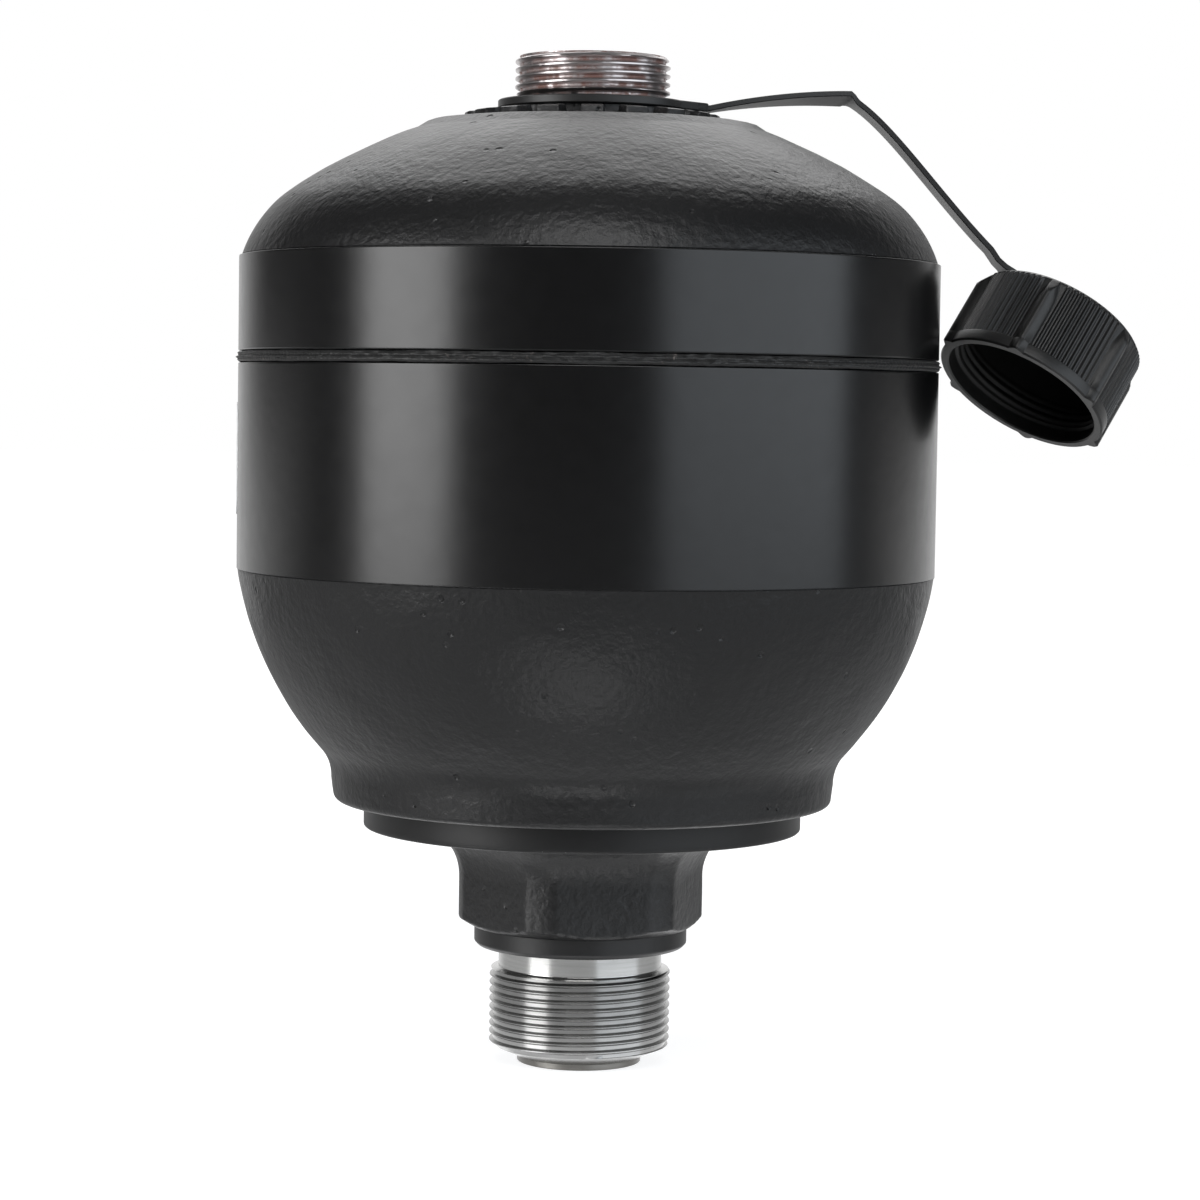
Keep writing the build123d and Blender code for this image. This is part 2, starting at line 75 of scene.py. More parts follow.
# %% A wire and a finish
class Wire:
    """One output of a node, on which sums can be written."""

    def __init__(self, finish, socket):
        self.finish = finish
        self.socket = socket

    def sum(self, operation, first, second):
        """A node that works out two operands: Vector Math where one is a vector."""
        pair = [w.socket.type for w in (first, second) if isinstance(w, Wire)]
        kind = "ShaderNodeVectorMath" if "VECTOR" in pair else "ShaderNodeMath"
        return self.finish.add(kind, {"operation": operation}, {0: first, 1: second})

    def __add__(self, other):
        return self.sum("ADD", self, other)

    def __radd__(self, other):
        return self.sum("ADD", other, self)

    def __sub__(self, other):
        return self.sum("SUBTRACT", self, other)

    def __rsub__(self, other):
        return self.sum("SUBTRACT", other, self)

    def __mul__(self, other):
        return self.sum("MULTIPLY", self, other)

    def __rmul__(self, other):
        return self.sum("MULTIPLY", other, self)


class Finish:
    """The nodes of a material or a world in the making. add() puts in any node."""

    def __init__(self, owner):
        owner.use_nodes = True
        self.owner = owner
        self.tree = owner.node_tree
        self.tree.nodes.clear()

    def add(self, kind, settings=None, inputs=None, output=0):
        """Puts in a node of a kind: its settings first, then the values or links of its sockets."""
        node = self.tree.nodes.new(kind)
        for name, value in (settings or {}).items():
            setattr(node, name, value)
        for name, value in (inputs or {}).items():
            if isinstance(value, Wire):
                self.tree.links.new(value.socket, node.inputs[name])
            else:
                node.inputs[name].default_value = value
        return Wire(self, node.outputs[output])

    def place(self):
        """The place on the object, in metres."""
        return self.add("ShaderNodeTexCoord", output=3)

    def apart(self, vector):
        """The three parts of a vector, and its distance from the upright axis."""
        x = self.add("ShaderNodeSeparateXYZ", inputs={0: vector})
        node = x.socket.node
        y, z = Wire(self, node.outputs[1]), Wire(self, node.outputs[2])
        radius = self.add("ShaderNodeMath", {"operation": "SQRT"}, {0: x * x + y * y})
        return x, y, z, radius

    def ease(self, value, low, high, start=0.0, end=1.0):
        """A smooth step of a value from low to high."""
        limits = {0: value, 1: low, 2: high, 3: start, 4: end}
        return self.add("ShaderNodeMapRange", {"interpolation_type": "SMOOTHSTEP"}, limits)

    def grain(self, vector, size, detail=2.0, rough=0.5):
        """Cloudy noise from 0 to 1, whose lumps are about size across."""
        inputs = {"Vector": vector, "Scale": 1 / size, "Detail": detail, "Roughness": rough}
        return self.add("ShaderNodeTexNoise", inputs=inputs)

    def cells(self, vector, size):
        """Distance to the nearest of scattered points, size apart."""
        return self.add("ShaderNodeTexVoronoi", inputs={"Vector": vector, "Scale": 1 / size})

    def blend(self, factor, first, second):
        """A colour between two colours."""
        inputs = {0: factor, 6: first, 7: second}
        return self.add("ShaderNodeMix", {"data_type": "RGBA"}, inputs, output=2)

    def bump(self, height, depth):
        """A normal from a height from 0 to 1, which stands for depth metres."""
        inputs = {"Height": height, "Distance": depth, "Strength": 1.0}
        return self.add("ShaderNodeBump", inputs=inputs)

    def surface(self, **inputs):
        """Ends a material with the shader that takes all its inputs."""
        named = {name.replace("_", " "): value for name, value in inputs.items()}
        return self.end(self.add("ShaderNodeBsdfPrincipled", inputs=named))

    def end(self, shader, kind="ShaderNodeOutputMaterial"):
        """Links a shader to the output, and gives back what holds the nodes."""
        out = self.tree.nodes.new(kind)
        self.tree.links.new(shader.socket, out.inputs["Surface"])
        return self.owner


def grey(value, blue=1.0):
    """A grey colour, with its blue part a little up or down."""
    return (value, value, value * blue, 1.0)


print("helpers ready")

# %% [markdown]
# ## Turned surfaces from a half section
# Most of this part came off a lathe or was forged round, so a half section swept about the
# axis gives its form. Blender's Screw modifier could sweep it, but a grid of rings made in
# numpy lets each ring be cut by a thread, pressed by a die or flattened by a hexagon.


# %% Sections and grids
def arc(centre, start, end, count):
    """Points on the short arc about a centre, both ends included."""
    a = math.atan2(start[1] - centre[1], start[0] - centre[0])
    b = math.atan2(end[1] - centre[1], end[0] - centre[0])
    radius = math.dist(centre, start)
    angles = np.linspace(a, b, count)
    return [(centre[0] + radius * math.cos(t), centre[1] + radius * math.sin(t)) for t in angles]


def bulged(start, end, bulge, count):
    """Points on an arc that stands out by bulge on the right of the line from start to end."""
    span = math.dist(start, end)
    radius = (span * span / 4 + bulge * bulge) / (2 * abs(bulge))
    side = math.copysign(radius - abs(bulge), -bulge)
    centre = (
        (start[0] + end[0]) / 2 + side * (end[1] - start[1]) / span,
        (start[1] + end[1]) / 2 - side * (end[0] - start[0]) / span,
    )
    return arc(centre, start, end, count)


def softened(points, size=0.2, step=2.0):
    """Rounds the sharp corners of a section, and divides its long runs."""
    sharp = math.radians(18)
    section = [Vector(point) for point in points]
    rounded = [section[0]]
    for before, corner, after in zip(section, section[1:], section[2:]):
        into, out = corner - before, after - corner
        reach = min(size, into.length * 0.45, out.length * 0.45)
        if min(into.length, out.length) < 1e-4 or into.angle(out) < sharp:
            rounded.append(corner)
            continue
        first, last = corner - into.normalized() * reach, corner + out.normalized() * reach
        for share in (0.0, 1 / 3, 2 / 3, 1.0):
            one, two = first.lerp(corner, share), corner.lerp(last, share)
            rounded.append(one.lerp(two, share))
    rounded.append(section[-1])
    spread = [rounded[0]]
    for a, b in zip(rounded, rounded[1:]):
        run = (b - a).length
        pieces = max(1, math.ceil(run / step))
        shares = [(k + 1) / pieces for k in range(pieces)]
        if pieces > 1:
            shares = sorted(shares + [size / run, 1 - size / run])
        spread += [a.lerp(b, share) for share in shares]
    return np.array([(p.x, p.y) for p in spread])


def turn_angles(count):
    """Angles all round, a whole turn in even steps."""
    return np.arange(count) * 2 * math.pi / count


def skin(name, radius, height, angles, caps=(False, False)):
    """A mesh from rings of radii and heights in millimetres, all round the upright axis.

    Where caps says so, a flat face closes the first ring, the last one, or both.
    """
    rings, count = radius.shape
    points = np.stack([radius * np.cos(angles), radius * np.sin(angles), height], axis=-1) * mm
    ring, spot = np.meshgrid(np.arange(rings - 1), np.arange(count), indexing="ij")
    nearby = (spot + 1) % count
    faces = np.stack(
        [
            ring * count + spot,
            ring * count + nearby,
            (ring + 1) * count + nearby,
            (ring + 1) * count + spot,
        ],
        axis=-1,
    ).reshape(-1, 4)
    polygons = faces.tolist()
    if caps[0]:
        polygons.append(list(range(count))[::-1])
    if caps[1]:
        polygons.append([(rings - 1) * count + k for k in range(count)])
    mesh = bpy.data.meshes.new(name)
    mesh.from_pydata(points.reshape(-1, 3).tolist(), [], polygons)
    mesh.shade_smooth()
    mesh.set_sharp_from_angle(angle=math.radians(40))
    piece = bpy.data.objects.new(name, mesh)
    bpy.context.scene.collection.objects.link(piece)
    return piece


def rings_of(section, count):
    """A section's radii and heights, repeated all round."""
    return np.repeat(section[:, :1], count, axis=1), np.repeat(section[:, 1:], count, axis=1)


def dress(piece, body, node, material):
    """Puts a finished piece on its body, in the place of its node."""
    piece.data.materials.clear()
    piece.data.materials.append(material)
    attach(piece, body)
    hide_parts(node)
    print(piece.name, "triangles:", sum(len(p.vertices) - 2 for p in piece.data.polygons))
    return piece


def softest(first, second, width):
    """The smaller of two lengths, with the change from one to the other rounded off."""
    return -width * np.logaddexp(-first / width, -second / width)


def clouds(radius, height, angles, size):
    """Smooth random relief from -1 to 1, whose lumps are about size millimetres across."""
    x, y = radius * np.cos(angles) / size, radius * np.sin(angles) / size
    z = height / size
    flat = [noise.noise(p) for p in zip(x.ravel(), y.ravel(), z.ravel())]
    return np.array(flat).reshape(radius.shape)


print("grid helpers ready")


# %% [markdown]
# ## Where the heights come from
# The frame's own boxes carry the main heights. What lies between them is the section of the
# forging, written in millimetres from those heights.

# %% Main heights and radii
top_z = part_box("upper_shell")[1].z / mm
shell_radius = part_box("upper_shell")[1].x / mm
weld_low, weld_high = (corner.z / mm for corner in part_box("weld_bead"))
weld_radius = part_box("weld_bead")[1].x / mm
seat_z = joints["strap_swivel"]["pos_m"][2] / mm
spotface_z = seat_z - 2.6
band_bottom_z = weld_low - 36.7
band_top_z = weld_high + 17.1
flange_top_z, flange_bottom_z, waist_z = 47.7, 42.9, 51.8
hex_foot_z = 24.9
weld_root, hollow_radius = 56.9, 54.5
neck_crest, neck_foot_radius, neck_clear_radius = 13.95, 13.0, 14.25
counterbore_radius, screw_hole_radius = 8.3, 5.0
fluid_bore_radius, fluid_bore_top_z = 8.0, 54.0
print("top", top_z, "shell radius", shell_radius, "weld", weld_low, weld_high, "seat", seat_z)

# %% [markdown]
# ## The upper shell
# It was forged hot between dies: the dome keeps the scale pits and the soft orange-peel skin
# of the forging, while the band below was turned smooth. Large unevenness is put into the mesh,
# where it shows in the outline, and the fine skin is left to the finish. The ring of raised
# pads round the neck was pressed by the same die.


# %% Build the upper shell
def upper_section():
    """The upper shell's half section outside, from the spigot to the neck's seat, and inside."""
    solid_knuckle, solid_crown, skin_drop = 23, 94.5, 0.5
    start = math.radians(17.34)
    knuckle_centre = (
        shell_radius - solid_knuckle * math.cos(start),
        band_top_z - solid_knuckle * math.sin(start),
    )
    apart = solid_crown - solid_knuckle
    crown_centre = (0, knuckle_centre[1] - math.sqrt(apart**2 - knuckle_centre[0] ** 2))
    knuckle_radius, crown_radius = solid_knuckle - skin_drop, solid_crown - skin_drop
    first = (
        knuckle_centre[0] + knuckle_radius * math.cos(start),
        knuckle_centre[1] + knuckle_radius * math.sin(start),
    )
    share = crown_radius / apart
    tangent = [crown_centre[k] + (knuckle_centre[k] - crown_centre[k]) * share for k in (0, 1)]
    lip_radius, face_radius, seat_radius = 31.6, 29.43, 15.8
    lip_foot = (lip_radius, crown_centre[1] + math.sqrt(crown_radius**2 - lip_radius**2))
    knuckle = [(shell_radius, band_top_z - 0.15)] + arc(knuckle_centre, first, tangent, 26)
    crown = arc(crown_centre, tangent, lip_foot, 26)
    crown += [(29.9, spotface_z - 0.15), (face_radius, spotface_z)]
    spigot_radius, spigot_z = 56.2, 123.2
    spigot = [(spigot_radius, spigot_z), (spigot_radius, weld_low + 0.8)]
    spigot += [(weld_root, weld_high - 0.8), (shell_radius, weld_high)]
    face = [(face_radius - 0.34 * k, spotface_z) for k in range(1, 40)]
    neck = [(seat_radius, spotface_z), (seat_radius, seat_z), (13.2, seat_z)]
    neck += [(screw_hole_radius, seat_z), (screw_hole_radius, 160.0)]
    vault = np.linspace(1.48, 0, 14)
    hollow = [(hollow_radius * math.cos(t), 138 + 22 * math.sin(t)) for t in vault]
    hollow += [(hollow_radius, spigot_z), (spigot_radius, spigot_z)]
    outside = spigot + knuckle + crown[1:] + face + neck
    return softened(outside, 0.18, 2.6), softened(hollow, 0.1, 5)


def pressed_pads(radius, angles):
    """Height of the ring of raised pads at each place."""
    pads, pad_start, pad_end, half_width = 18, 18.6, 23.4, 2.45
    pitch = 2 * math.pi / pads
    beside = radius * np.sin(angles % pitch - pitch / 2)
    along = np.clip((radius - pad_start) / 0.5, 0, 1) * np.clip((pad_end - radius) / 0.5, 0, 1)
    across = np.clip((half_width - np.abs(beside)) / 0.6, 0, 1)
    top = 2.2 - (radius - 18.8) * 0.13
    smooth = along * along * (3 - 2 * along) * across * across * (3 - 2 * across)
    return top * smooth


angles = turn_angles(500)
outer, inner = upper_section()
radius, height = rings_of(np.vstack([outer, inner]), len(angles))
forged = np.clip((height - band_top_z) / 2, 0, 1) * np.clip((radius - 28.0) / 3, 0, 1)
height += 0.16 * forged * clouds(radius, height, angles, 9.0)
height += 0.05 * forged * clouds(radius, height, angles, 3.5)
on_face = (np.abs(height - spotface_z) < 0.2) & (radius > 16.2) & (radius < 29.0)
height += np.where(on_face, pressed_pads(radius, angles), 0)
upper_body = skin("upper_shell_body", radius, height, angles)
print("upper rings", radius.shape[0])

# %% [markdown]
# ## The gas neck
# An M28 thread with a pitch of 1.5 mm. Level rings would cut across a real screw line and leave
# it stepped, so these rows climb with the thread: each row stays on one line of the profile,
# such as a crest's edge, and at the end of a turn it joins the row one pitch above.


# %% Threads
def thread_skin(name, crest, low, high, envelope, flat=0.065, root=0.03, depth=0.92, nick=0.0):
    """A screw thread between two heights, kept inside an envelope of radii by height."""
    count, pitch = 360, 1.5
    flank = []
    for t in (0, 0.2, 0.4, 0.6, 0.8, 1):
        share = t + 0.1 * math.sin(2 * math.pi * (t - 0.5))
        flank.append((flat + (0.5 - root - flat) * t, share))
    profile = [(0.0, 0.0)] + flank + [(1 - phase, share) for phase, share in flank[::-1]]
    turns = range(math.floor(low / pitch) - 2, math.ceil(high / pitch) + 1)
    rows = [((turn + phase) * pitch, share * depth) for turn in turns for phase, share in profile]
    angles = turn_angles(count)
    start, groove = (np.array(column)[:, None] for column in zip(*rows))
    height = np.clip(start + pitch * angles / (2 * math.pi), low, high)
    marks = nick * clouds(np.full_like(height, crest), height, angles, 1.1) if nick else 0
    radius = np.minimum(envelope(height), crest - groove + marks)
    points = np.stack([radius * np.cos(angles), radius * np.sin(angles), height], axis=-1) * mm
    row, spot = np.meshgrid(np.arange(len(rows) - 1), np.arange(count), indexing="ij")
    last = spot == count - 1
    over, step = (spot + 1) % count, np.where(last, len(profile), 0)
    fits = row + step < len(rows) - 1
    corners = [row * count + spot, (row + step) * count + over]
    corners += [(row + step + 1) * count + over, (row + 1) * count + spot]
    faces = np.stack([corner[fits] for corner in corners], axis=-1)
    grid = bmesh.new()
    mesh = bpy.data.meshes.new(name)
    mesh.from_pydata(points.reshape(-1, 3).tolist(), [], faces.tolist())
    grid.from_mesh(mesh)
    bmesh.ops.remove_doubles(grid, verts=grid.verts, dist=2e-6)
    bmesh.ops.dissolve_degenerate(grid, edges=grid.edges, dist=1e-6)
    bmesh.ops.delete(grid, geom=[v for v in grid.verts if not v.link_faces], context="VERTS")
    grid.to_mesh(mesh)
    grid.free()
    mesh.shade_smooth()
    mesh.set_sharp_from_angle(angle=math.radians(34))
    piece = bpy.data.objects.new(name, mesh)
    bpy.context.scene.collection.objects.link(piece)
    return piece


neck_start, counterbore_z = seat_z + 1.7, top_z - 7


def neck_envelope(z):
    """The neck's radius by height: a lead-in under the thread and a bevel at the rim."""
    lead_in, bevel = neck_foot_radius + 0.8 * (z - neck_start), neck_crest - 0.8 + (top_z - z)
    return np.minimum(neck_crest, np.minimum(bevel, lead_in))


neck_thread = thread_skin(
    "gas_neck_thread",
    neck_crest,
    neck_start,
    top_z,
    neck_envelope,
    flat=0.085,
    root=0.10,
    depth=0.86,
    nick=0.05,
)
angles = turn_angles(240)
rim = [(neck_crest - 0.8, top_z), (counterbore_radius, top_z)]
bore = rim + [(counterbore_radius, counterbore_z), (screw_hole_radius, counterbore_z)]
bore = softened(bore + [(screw_hole_radius, top_z - 20)], 0.25, 1.5)
seat = [(15.75, seat_z - 0.2), (15.75, seat_z), (neck_foot_radius, seat_z)]
foot = softened(seat + [(neck_foot_radius, neck_start)], 0.25, 0.8)
neck_bore = skin("gas_neck_bore", *rings_of(bore, len(angles)), angles)
neck_foot = skin("gas_neck_foot", *rings_of(foot, len(angles)), angles)
print("neck thread faces", len(neck_thread.data.polygons))

# %% [markdown]
# ## The lower shell
# The bowl was forged like the dome and its band turned like the upper one. Under the bowl a
# forged boss stands on a turned flange.


# %% Build the lower shell's body
def lower_section():
    """The lower shell's half section, from the flange up outside and back down inside."""
    boss_top = (45.5, waist_z)
    bowl_end = (boss_top[0] + 2.2, boss_top[1] + 5.4)
    bowl_start = (shell_radius - 0.15, band_bottom_z)
    bowl = bulged(bowl_end, bowl_start, 2.6, 30)
    waist = bulged(boss_top, bowl_end, -0.57, 9)
    corner = arc((43.9, flange_top_z + 1.3), (43.9, flange_top_z), (45.2, flange_top_z + 1.3), 7)
    flange_radius, ledge_radius, ledge_z, hollow_z = 39.7, 56.5, 112.0, 92.0
    flange = [(29.5, flange_bottom_z), (flange_radius, flange_bottom_z)]
    flange += [(flange_radius, flange_top_z)]
    band = [(shell_radius, band_bottom_z), (shell_radius, weld_low), (weld_root, weld_low + 0.8)]
    inside = [(ledge_radius, weld_low + 0.8), (ledge_radius, ledge_z)]
    inside += [(hollow_radius, ledge_z), (hollow_radius, hollow_z)]
    floor = arc((16.5, hollow_z), (hollow_radius, hollow_z), (17.0, fluid_bore_top_z), 14)
    floor.append((fluid_bore_radius, fluid_bore_top_z))
    outside = softened(flange, 0.5, 1.5).tolist()
    outside += softened(corner + waist[:-1] + bowl[:-1] + [bowl_start] + band, 0.18, 2.6).tolist()
    return np.vstack([outside, softened(inside + floor[1:], 0.2, 6)])


angles = turn_angles(600)
radius, height = rings_of(lower_section(), len(angles))
forged = np.clip((band_bottom_z - height) / 2, 0, 1)
forged = forged * np.clip((height - flange_top_z - 0.2) / 2, 0, 1)
forged = forged * (radius > 44) * (height > flange_top_z)
radius += 0.15 * forged * clouds(radius, height, angles, 9.0)
radius += 0.06 * forged * clouds(radius, height, angles, 3.2)
lower_body = skin("lower_shell_body", radius, height, angles)
print("lower rings", radius.shape[0])

# %% [markdown]
# ## The spanner hexagon
# Six flats were pressed under the flange and flow into it with a wide fillet. A hexagon's
# distance from its axis is the flat's distance over the cosine of the angle, so the same grid
# of rings makes it. The turned corners and the chamfer below are the smaller of two radii.

# %% Build the hexagon and the collar
across, corner_radius, hex_turn = 20.5, 22.3, math.radians(11.0)
sixth = math.pi / 3
corner, flat = np.linspace(0.3, 0.5, 16), np.linspace(-0.28, 0.28, 28)
fine = np.concatenate([-corner[::-1], flat, corner])
angles = np.concatenate([hex_turn + sixth * (k + 0.5 + fine[:-1]) for k in range(6)])
away = (angles - hex_turn) % sixth - sixth / 2
outline = softest(across / np.cos(away), np.full_like(away, corner_radius), 0.12)
rows = []
flat_top_z, flare, foot_radius, chamfer_slope = 34.0, 8.8, 19.75, 1.732
for z in np.linspace(hex_foot_z, flat_top_z, 26):
    cone = np.full_like(outline, foot_radius + (z - hex_foot_z) * chamfer_slope)
    rows.append((softest(outline, cone, 0.12), z))
for bend in np.linspace(0, math.pi / 2, 18)[1:]:
    rise = (flange_bottom_z - flat_top_z) * math.sin(bend)
    rows.append((outline + flare * (1 - math.cos(bend)), flat_top_z + rise))
rows.append((np.full_like(outline, 31.5), flange_bottom_z))
collar = [(fluid_bore_radius, 21.4), (14.9, 21.4), (14.9, 21.3), (18.65, 21.3)]
collar = softened(collar + [(19.35, 22.0), (19.35, hex_foot_z)], 0.2, 1.0)
radius = np.vstack([rings_of(collar, len(angles))[0]] + [r for r, z in rows])
height = np.vstack([rings_of(collar, len(angles))[1]] + [np.full_like(r, z) for r, z in rows])
hex_skin = (height > hex_foot_z + 0.3) & (height < flange_bottom_z - 0.1)
radius += np.where(hex_skin, 0.035 * clouds(radius, height, angles, 2.6), 0)
hexagon = skin("port_hexagon", radius, height, angles)
print("hexagon rings", radius.shape[0])

# %% [markdown]
# ## The fluid port
# M33 with the same pitch of 1.5 mm, turned bright. Its grooves are shallow with wide round
# roots, so the long reflections of a plain cylinder still run down it. The nose with its
# lead-in cone and the relief with its small shoulder are plain rings of their own, because a
# climbing row of the thread can't follow a level edge.

# %% Build the port
port_crest, relief_radius, nose_radius = 16.45, 14.85, 11.3
nose_z, thread_top_z = 1.06, 17.0


def port_envelope(z):
    """The port's radius by height: a long lead-in cone below and a small bevel on top."""
    lead_in, bevel = nose_radius + (z - nose_z) * 2.3, port_crest - 0.25 + (thread_top_z - z) * 1.2
    return np.minimum(port_crest, np.minimum(lead_in, bevel))


port = thread_skin(
    "port_thread",
    port_crest,
    nose_z,
    thread_top_z,
    port_envelope,
    flat=0.05,
    root=0.21,
    depth=0.62,
)
angles = turn_angles(300)
bore = [(fluid_bore_radius, fluid_bore_top_z), (fluid_bore_radius, 0.4), (8.4, 0.0)]
nose = softened(bore + [(nose_radius, 0.0), (nose_radius, nose_z)], 0.2, 4.0)
shoulder = [(port_crest - 0.25, thread_top_z), (15.1, 17.2), (relief_radius, 17.4)]
relief = softened(shoulder + [(relief_radius, 21.0), (15.2, 21.4)], 0.12, 0.8)
port_nose = skin("port_nose", *rings_of(nose, len(angles)), angles)
port_relief = skin("port_relief", *rings_of(relief, len(angles)), angles)
print("port thread faces", len(port.data.polygons))

# %% [markdown]
# ## The weld
# The two shells were joined in one pass while the vessel turned, so the bead carries small
# ripples where the pool froze step by step, and its edges wander a little.

# %% Build the weld bead
count = 1200
angles = turn_angles(count)
steps = np.linspace(-1, 1, 21)
around = np.full((1, count), weld_radius)
wander = clouds(around, np.full((1, count), 127.0), angles, 6.0)
tremble = clouds(around, np.full((1, count), 227.0), angles, 1.6)
radius = np.zeros((len(steps), count))
height = np.zeros_like(radius)
middle = (weld_low + weld_high) / 2
for row, across_bead in enumerate(steps):
    crown = math.sqrt(max(0.0, 1 - across_bead**2))
    ripple = 0.06 * np.cos(angles * 340 + 2.2 * across_bead**2 + 2 * wander[0])
    folds = 0.36 * math.exp(-(((across_bead + 0.1) / 0.2) ** 2)) * (1 + tremble[0])
    folds = folds + 0.26 * math.exp(-(((across_bead - 0.72) / 0.17) ** 2)) * (1 - tremble[0])
    folds = folds + 0.20 * math.exp(-(((across_bead + 0.62) / 0.25) ** 2))
    rough_skin = 0.12 * clouds(around, height[row : row + 1] + 9 * row, angles, 0.9)
    lift = 0.08 + folds + ripple + rough_skin[0]
    radius[row] = shell_radius - 0.12 + np.clip(lift, 0.02, 0.72) * crown
    height[row] = middle + across_bead * (0.92 + 0.12 * wander[0] + 0.06 * tremble[0])
root = softened([(weld_root, weld_high - 0.8), (weld_root, weld_low + 0.8)], 0.1, 3)
root_radius, root_height = rings_of(root, len(angles))
radius, height = np.vstack([radius, root_radius]), np.vstack([height, root_height])
weld = skin("weld_ripples", radius, height, angles)
print("weld radius", radius.max(), "limit", weld_radius)

# %% [markdown]
# ## The screw cap
# One moulding. Its wall carries fine ribs for grip and six stout lobes for a spanner, and the
# thread inside is a low ridge. The wall's radius at each angle is the largest of the core, the
# ribs and the lobes, which is how the mould was cut too.

# %% Build the cap in its own frame
cap_angles = turn_angles(1440)
core_radius, band_radius, band_top, cap_top = 15.9, 16.5, 2.3, 16.7
rib_step, rib_span, rib_radius = math.radians(4.1), math.radians(22.5), 16.2
rib_half, rib_flank, rib_proud, rib_top = 0.46, 0.34, 0.5, 15.6
lobe_turn, lobe_step, lobe_middle = math.radians(7), math.pi / 3, 15.1
lobe_half, lobe_proud, lobe_radius = 2.4, 2.42, 17.6


def cap_outline(z):
    """The cap's outer radius all round at one height over its mouth."""
    if z < band_top:
        wall = np.full_like(cap_angles, band_radius)
    else:
        between = (cap_angles - lobe_turn) % lobe_step - lobe_step / 2
        near = np.abs((between + rib_step / 2) % rib_step - rib_step / 2) * rib_radius
        rib = core_radius + rib_proud * np.clip((rib_half - near) / rib_flank, 0, 1) ** 1.4
        rib = np.where(np.abs(between) < rib_span, rib, core_radius)
        wall = np.minimum(rib, core_radius + rib_proud - max(0.0, z - rib_top))
    shrink = min(1.0, max(0.0, (16.3 - z) / 5.0)) ** 0.7
    off_lobe = (cap_angles - lobe_turn + lobe_step / 2) % lobe_step - lobe_step / 2
    across_lobe = lobe_middle * np.sin(off_lobe)
    half = lobe_half * (0.25 + 0.75 * shrink)
    bulge = np.clip(1 - np.abs(across_lobe / half) ** 1.6, 0, 1) * lobe_proud
    lobe = np.where(np.abs(across_lobe) < half, lobe_middle * np.cos(off_lobe) + bulge, 0)
    top_cut = min(lobe_radius, core_radius + 1.7 * max(0.0, (16.1 - z) / 2.9))
    return np.maximum(wall, np.minimum(lobe, top_cut))


rows = [(np.full_like(cap_angles, 14.8), 0.25), (np.full_like(cap_angles, 15.05), 0.0)]
rows += [(cap_outline(0) - 0.3, 0.0), (cap_outline(0), 0.3), (cap_outline(0), band_top - 0.15)]
rows += [(cap_outline(0) - 0.05, band_top)]
levels = (band_top + 0.05, 5, 7.5, 10, 12, 12.6, 13.2, 13.8, 14.4, 15, 15.4, 15.7, 16)
rows += [(cap_outline(z), z) for z in levels]
stud_radius, stud_top = 2.5, 20.0
top = [(15.75, 16.25), (15.4, 16.55), (15.0, cap_top), (9.0, cap_top), (stud_radius, cap_top)]
stud = [(stud_radius, 18.5), (4.1, 18.5), (4.15, 18.7), (2.7, 19.95), (2.4, stud_top)]
stud.append((0.3, stud_top))
rows += [(np.full_like(cap_angles, r), z) for r, z in top + stud]
radius = np.array([r for r, z in rows])
height = np.array([np.full_like(cap_angles, z) for r, z in rows])
cap_shell = skin("cap_wall", radius, height, cap_angles, caps=(False, True))

angles = turn_angles(240)
thread_z = np.arange(3.0, 12.01, 0.15)
radius = np.repeat(np.full((len(thread_z), 1), neck_clear_radius), len(angles), axis=1)
height = np.repeat(thread_z[:, None], len(angles), axis=1)
fade = np.clip((thread_z - 3.0) / 0.8, 0, 1) * np.clip((8.0 - thread_z) / 2.5, 0, 1)
climb = (height / 1.5 - angles / (2 * math.pi)) % 1.0
radius -= fade[:, None] * 0.4 * np.clip(1.25 - 2.6 * np.abs(climb - 0.5), 0, 1)
mouth = softened([(14.8, 0.25), (14.8, 2.6), (neck_clear_radius, 2.95)], 0.15, 1.2)
ceiling = [(neck_clear_radius, 12.1), (neck_clear_radius, 14.5), (0.3, 14.5)]
ceiling = softened(ceiling, 0.5, 2.0)
mouth, ceiling = rings_of(mouth, len(angles)), rings_of(ceiling, len(angles))
radius = np.vstack([mouth[0], radius, ceiling[0]])
height = np.vstack([mouth[1], height, ceiling[1]])
cap_lining = skin("cap_inside", radius[::-1], height[::-1], angles, caps=(True, False))

axis = Vector(joints["cap_spin"]["axis"])
side = Vector((axis.z, 0, -axis.x)).normalized()
across_cap = axis.cross(side)
cap_place = Matrix((side, across_cap, axis)).transposed().to_4x4()
cap_place.translation = Vector(joints["cap_spin"]["pos_m"])
for piece in (cap_shell, cap_lining):
    piece.data.transform(cap_place)
print("cap axis", tuple(round(v, 3) for v in axis))

# %% [markdown]
# ## The strap
# One flat moulding holds the cap: a ring round the neck with a beak, a strip and an eyelet on
# the cap's stud. The strip runs out nearly level and twists so that its underside shows, folds
# over once, and falls to the cap on edge. The fold is sharp because the plastic has taken a set.


# %% Build the strap
def washer(name, inner, outer, low, high, count):
    """A flat ring with soft edges, whose outer radius may change all round."""
    ring_angles = turn_angles(count)
    reach = np.broadcast_to(outer, (count,))
    soft = 0.18
    corners = [(0, low + soft), (soft, low), (-soft, low), (0, low + soft), (0, high - soft)]
    corners += [(-soft, high), (soft, high), (0, high - soft), (0, low + soft)]
    outside = (False, False, True, True, True, True, False, False, False)
    hole = np.full(count, inner)
    rows = [(reach if out else hole) + shift for (shift, z), out in zip(corners, outside)]
    heights = [np.full(count, z) for shift, z in corners]
    return skin(name, np.array(rows), np.array(heights), ring_angles)


